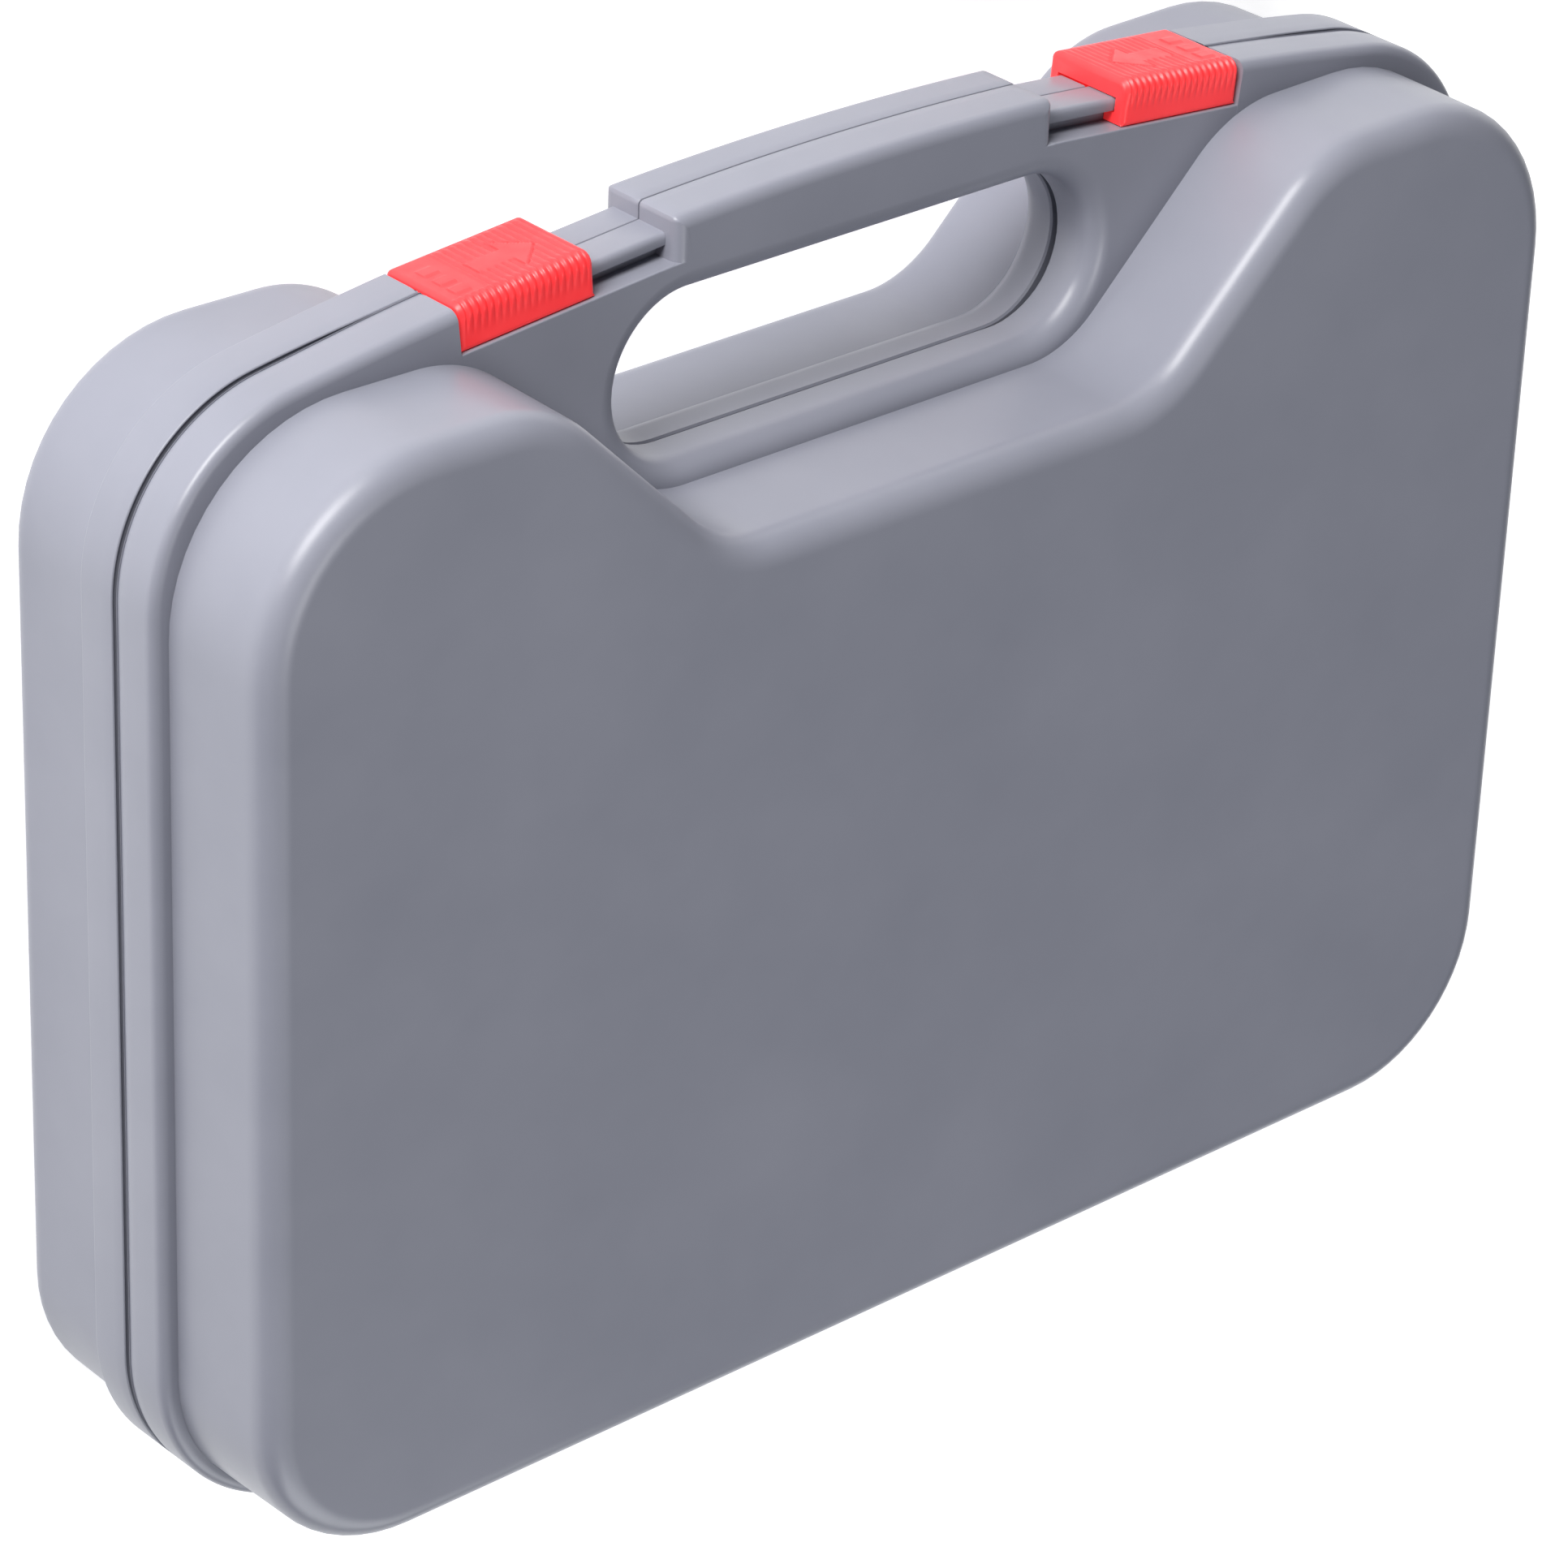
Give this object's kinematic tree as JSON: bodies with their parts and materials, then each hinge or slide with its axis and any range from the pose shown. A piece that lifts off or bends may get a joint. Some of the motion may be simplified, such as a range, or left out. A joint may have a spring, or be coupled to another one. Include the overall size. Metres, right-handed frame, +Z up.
{
  "type": "socket wrench set in case",
  "caption": "Hinged moulded carry case with a hand hole and two sliding latches, holding a square-drive ratchet, sockets, extension bars, a sliding bar and a universal joint.",
  "frame": {"origin": "on the floor under the middle of the whole object, which lies on its base shell", "axes": "+X along the width of the case, +Y towards the hinge, so the handle and latches face -Y, +Z up towards the lid"},
  "size_m": [0.38, 0.285, 0.088],
  "materials": {
    "shell_plastic": "fine moulded grain, satin",
    "latch_plastic": "smooth, lightly glossy",
    "tray_plastic": "fine moulded grain, matte",
    "foam": "closed-cell foam, matte",
    "pin_steel": "bright zinc plate",
    "grip_rubber": "soft matte rubber",
    "tool_chrome": "satin chrome plate",
    "gear_steel": "phosphated steel",
    "ball_steel": "polished"
  },
  "bodies": {
    "base": {"base_shell": "shell_plastic", "base_tray": "tray_plastic", "left_hinge_pin": "pin_steel", "right_hinge_pin": "pin_steel", "cover_screws": "pin_steel", "ratchet_grip": "grip_rubber", "bar_end_rings": "grip_rubber", "plug_insert_21mm": "grip_rubber", "plug_insert_16mm": "grip_rubber", "ratchet_housing": "tool_chrome", "ratchet_cover": "tool_chrome", "long_extension": "tool_chrome", "short_extension": "tool_chrome", "sliding_bar": "tool_chrome", "joint_socket_yoke": "tool_chrome", "bit_adaptor": "tool_chrome", "socket_32mm": "tool_chrome", "socket_30mm": "tool_chrome", "socket_27mm": "tool_chrome", "socket_24mm": "tool_chrome", "socket_22mm": "tool_chrome", "socket_21mm": "tool_chrome", "socket_20mm": "tool_chrome", "socket_19mm": "tool_chrome", "socket_18mm": "tool_chrome", "socket_17mm": "tool_chrome", "socket_16mm": "tool_chrome", "socket_15mm": "tool_chrome", "socket_14mm": "tool_chrome", "socket_13mm": "tool_chrome", "socket_12mm": "tool_chrome", "socket_11mm": "tool_chrome", "socket_10mm": "tool_chrome", "plug_socket_21mm": "tool_chrome", "plug_socket_16mm": "tool_chrome", "long_extension_ball": "ball_steel", "short_extension_ball": "ball_steel"},
    "lid": {"lid_shell": "shell_plastic", "lid_pad": "foam"},
    "left_latch_body": {"left_latch": "latch_plastic"},
    "right_latch_body": {"right_latch": "latch_plastic"},
    "gear": {"drive_gear": "gear_steel", "gear_ball": "ball_steel"},
    "pawl_body": {"pawl": "gear_steel"},
    "lever": {"reverse_lever": "tool_chrome"},
    "slider": {"sliding_head": "tool_chrome", "sliding_head_ball": "ball_steel"},
    "cross": {"joint_cross": "gear_steel", "joint_pin_pair": "pin_steel", "joint_cross_pin": "pin_steel"},
    "square_yoke": {"joint_square_yoke": "tool_chrome", "joint_ball": "ball_steel"}
  },
  "joints": [
    {"name": "lid_hinge", "type": "hinge", "parent": "base", "child": "lid", "pos_m": [0, 0.1385, 0.044], "axis": [-1, 0, 0], "range_deg": [0, 180]},
    {"name": "left_latch_slide", "type": "slide", "parent": "lid", "child": "left_latch_body", "axis": [0.9962, -0.0872, 0], "range_m": [0, 0.018]},
    {"name": "right_latch_slide", "type": "slide", "parent": "lid", "child": "right_latch_body", "axis": [-0.9962, -0.0872, 0], "range_m": [0, 0.018]},
    {"name": "drive_spin", "type": "hinge", "parent": "base", "child": "gear", "pos_m": [-0.155, 0.014, 0.025], "axis": [0, 0, 1], "continuous": true},
    {"name": "lever_turn", "type": "hinge", "parent": "base", "child": "lever", "pos_m": [-0.135, 0.014, 0.039], "axis": [0, 0, 1], "range_deg": [0, 40]},
    {"name": "pawl_rock", "type": "hinge", "parent": "base", "child": "pawl_body", "pos_m": [-0.135, 0.014, 0.028], "axis": [0, 0, 1], "range_deg": [0, 9]},
    {"name": "head_slide", "type": "slide", "parent": "base", "child": "slider", "axis": [1, 0, 0], "range_m": [-0.09, 0.09]},
    {"name": "joint_turn", "type": "hinge", "parent": "base", "child": "cross", "pos_m": [0.1525, -0.036, 0.018], "axis": [0, 0, 1], "range_deg": [-25, 25]},
    {"name": "joint_lift", "type": "hinge", "parent": "cross", "child": "square_yoke", "pos_m": [0.1525, -0.036, 0.018], "axis": [-1, 0, 0], "range_deg": [0, 40]}
  ],
  "couplings": [
    {"joint": "pawl_rock", "follows": "lever_turn", "ratio": 0.2}
  ]
}
